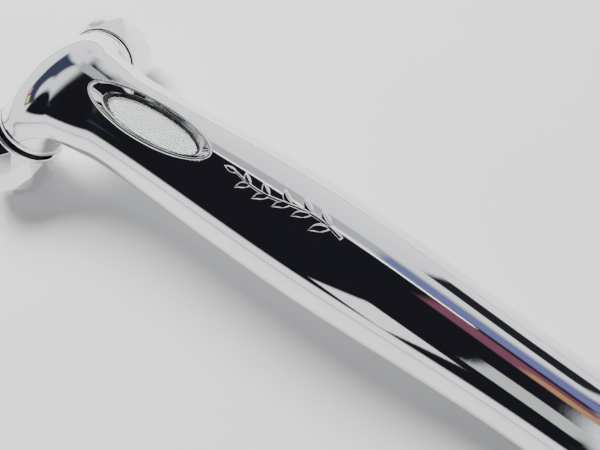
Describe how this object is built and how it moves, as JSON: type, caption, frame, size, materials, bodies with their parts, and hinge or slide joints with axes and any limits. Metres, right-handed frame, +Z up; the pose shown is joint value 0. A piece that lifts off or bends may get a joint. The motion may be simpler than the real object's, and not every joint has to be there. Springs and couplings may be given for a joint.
{
  "type": "two-ball facial roller massager",
  "caption": "Hand-held roller massager: bowed mirror handle with an oval window and a Y head whose two splayed arms each carry a free-spinning faceted ball.",
  "frame": {"origin": "middle of the underside of the whole roller as it lies on its two balls and its tail", "axes": "+X across the handle, +Y along the handle towards the balls, +Z up from the table"},
  "size_m": [0.0512, 0.1452, 0.0294],
  "materials": {
    "polished_chrome": "mirror-bright plating over moulded plastic",
    "chrome_trim": "mirror-bright plating with fine rounded edges",
    "ball_chrome": "bright plating over flat-cut facets",
    "clear_lens": "clear moulded window, polished",
    "solar_silicon": "dark cell with fine pale collector lines under a gloss coat",
    "black_rubber": "soft black seal rubber",
    "dark_abs": "fine-grained dark moulded plastic",
    "bearing_plastic": "smooth off-white bearing plastic",
    "cast_zinc": "as-cast grey metal",
    "turned_steel": "turned and polished steel",
    "spring_bronze": "plain rolled strip",
    "wire_red": "thin red insulation",
    "wire_black": "thin black insulation"
  },
  "bodies": {
    "handle": {"handle_upper_shell": "polished_chrome", "handle_lower_shell": "polished_chrome", "window_bezel": "chrome_trim", "grip_ornament": "chrome_trim", "window_lens": "clear_lens", "lens_gasket": "black_rubber", "solar_cell": "solar_silicon", "cell_carrier": "dark_abs", "chassis": "dark_abs", "axle_block": "cast_zinc", "chassis_screws": "turned_steel", "block_screw": "turned_steel", "lead_wire_to_axles": "wire_red", "lead_wire_to_handle": "wire_black", "contact_spring": "spring_bronze", "left_axle": "turned_steel", "left_collar_ring": "chrome_trim", "left_seal_ring": "black_rubber", "left_axle_clip": "turned_steel", "right_axle": "turned_steel", "right_collar_ring": "chrome_trim", "right_seal_ring": "black_rubber", "right_axle_clip": "turned_steel"},
    "left_ball": {"left_ball_shell": "ball_chrome", "left_ball_core": "bearing_plastic", "left_core_cap": "bearing_plastic", "left_ball_flange": "chrome_trim", "left_inner_bush": "bearing_plastic", "left_outer_bush": "bearing_plastic"},
    "right_ball": {"right_ball_shell": "ball_chrome", "right_ball_core": "bearing_plastic", "right_core_cap": "bearing_plastic", "right_ball_flange": "chrome_trim", "right_inner_bush": "bearing_plastic", "right_outer_bush": "bearing_plastic"}
  },
  "joints": [
    {"name": "left_ball_spin", "type": "hinge", "parent": "handle", "child": "left_ball", "pos_m": [-0.0163, 0.0634, 0.00911], "axis": [-0.5736, 0.5265, -0.6275], "continuous": true},
    {"name": "right_ball_spin", "type": "hinge", "parent": "handle", "child": "right_ball", "pos_m": [0.0163, 0.0634, 0.00911], "axis": [0.5736, 0.5265, -0.6275], "continuous": true}
  ]
}
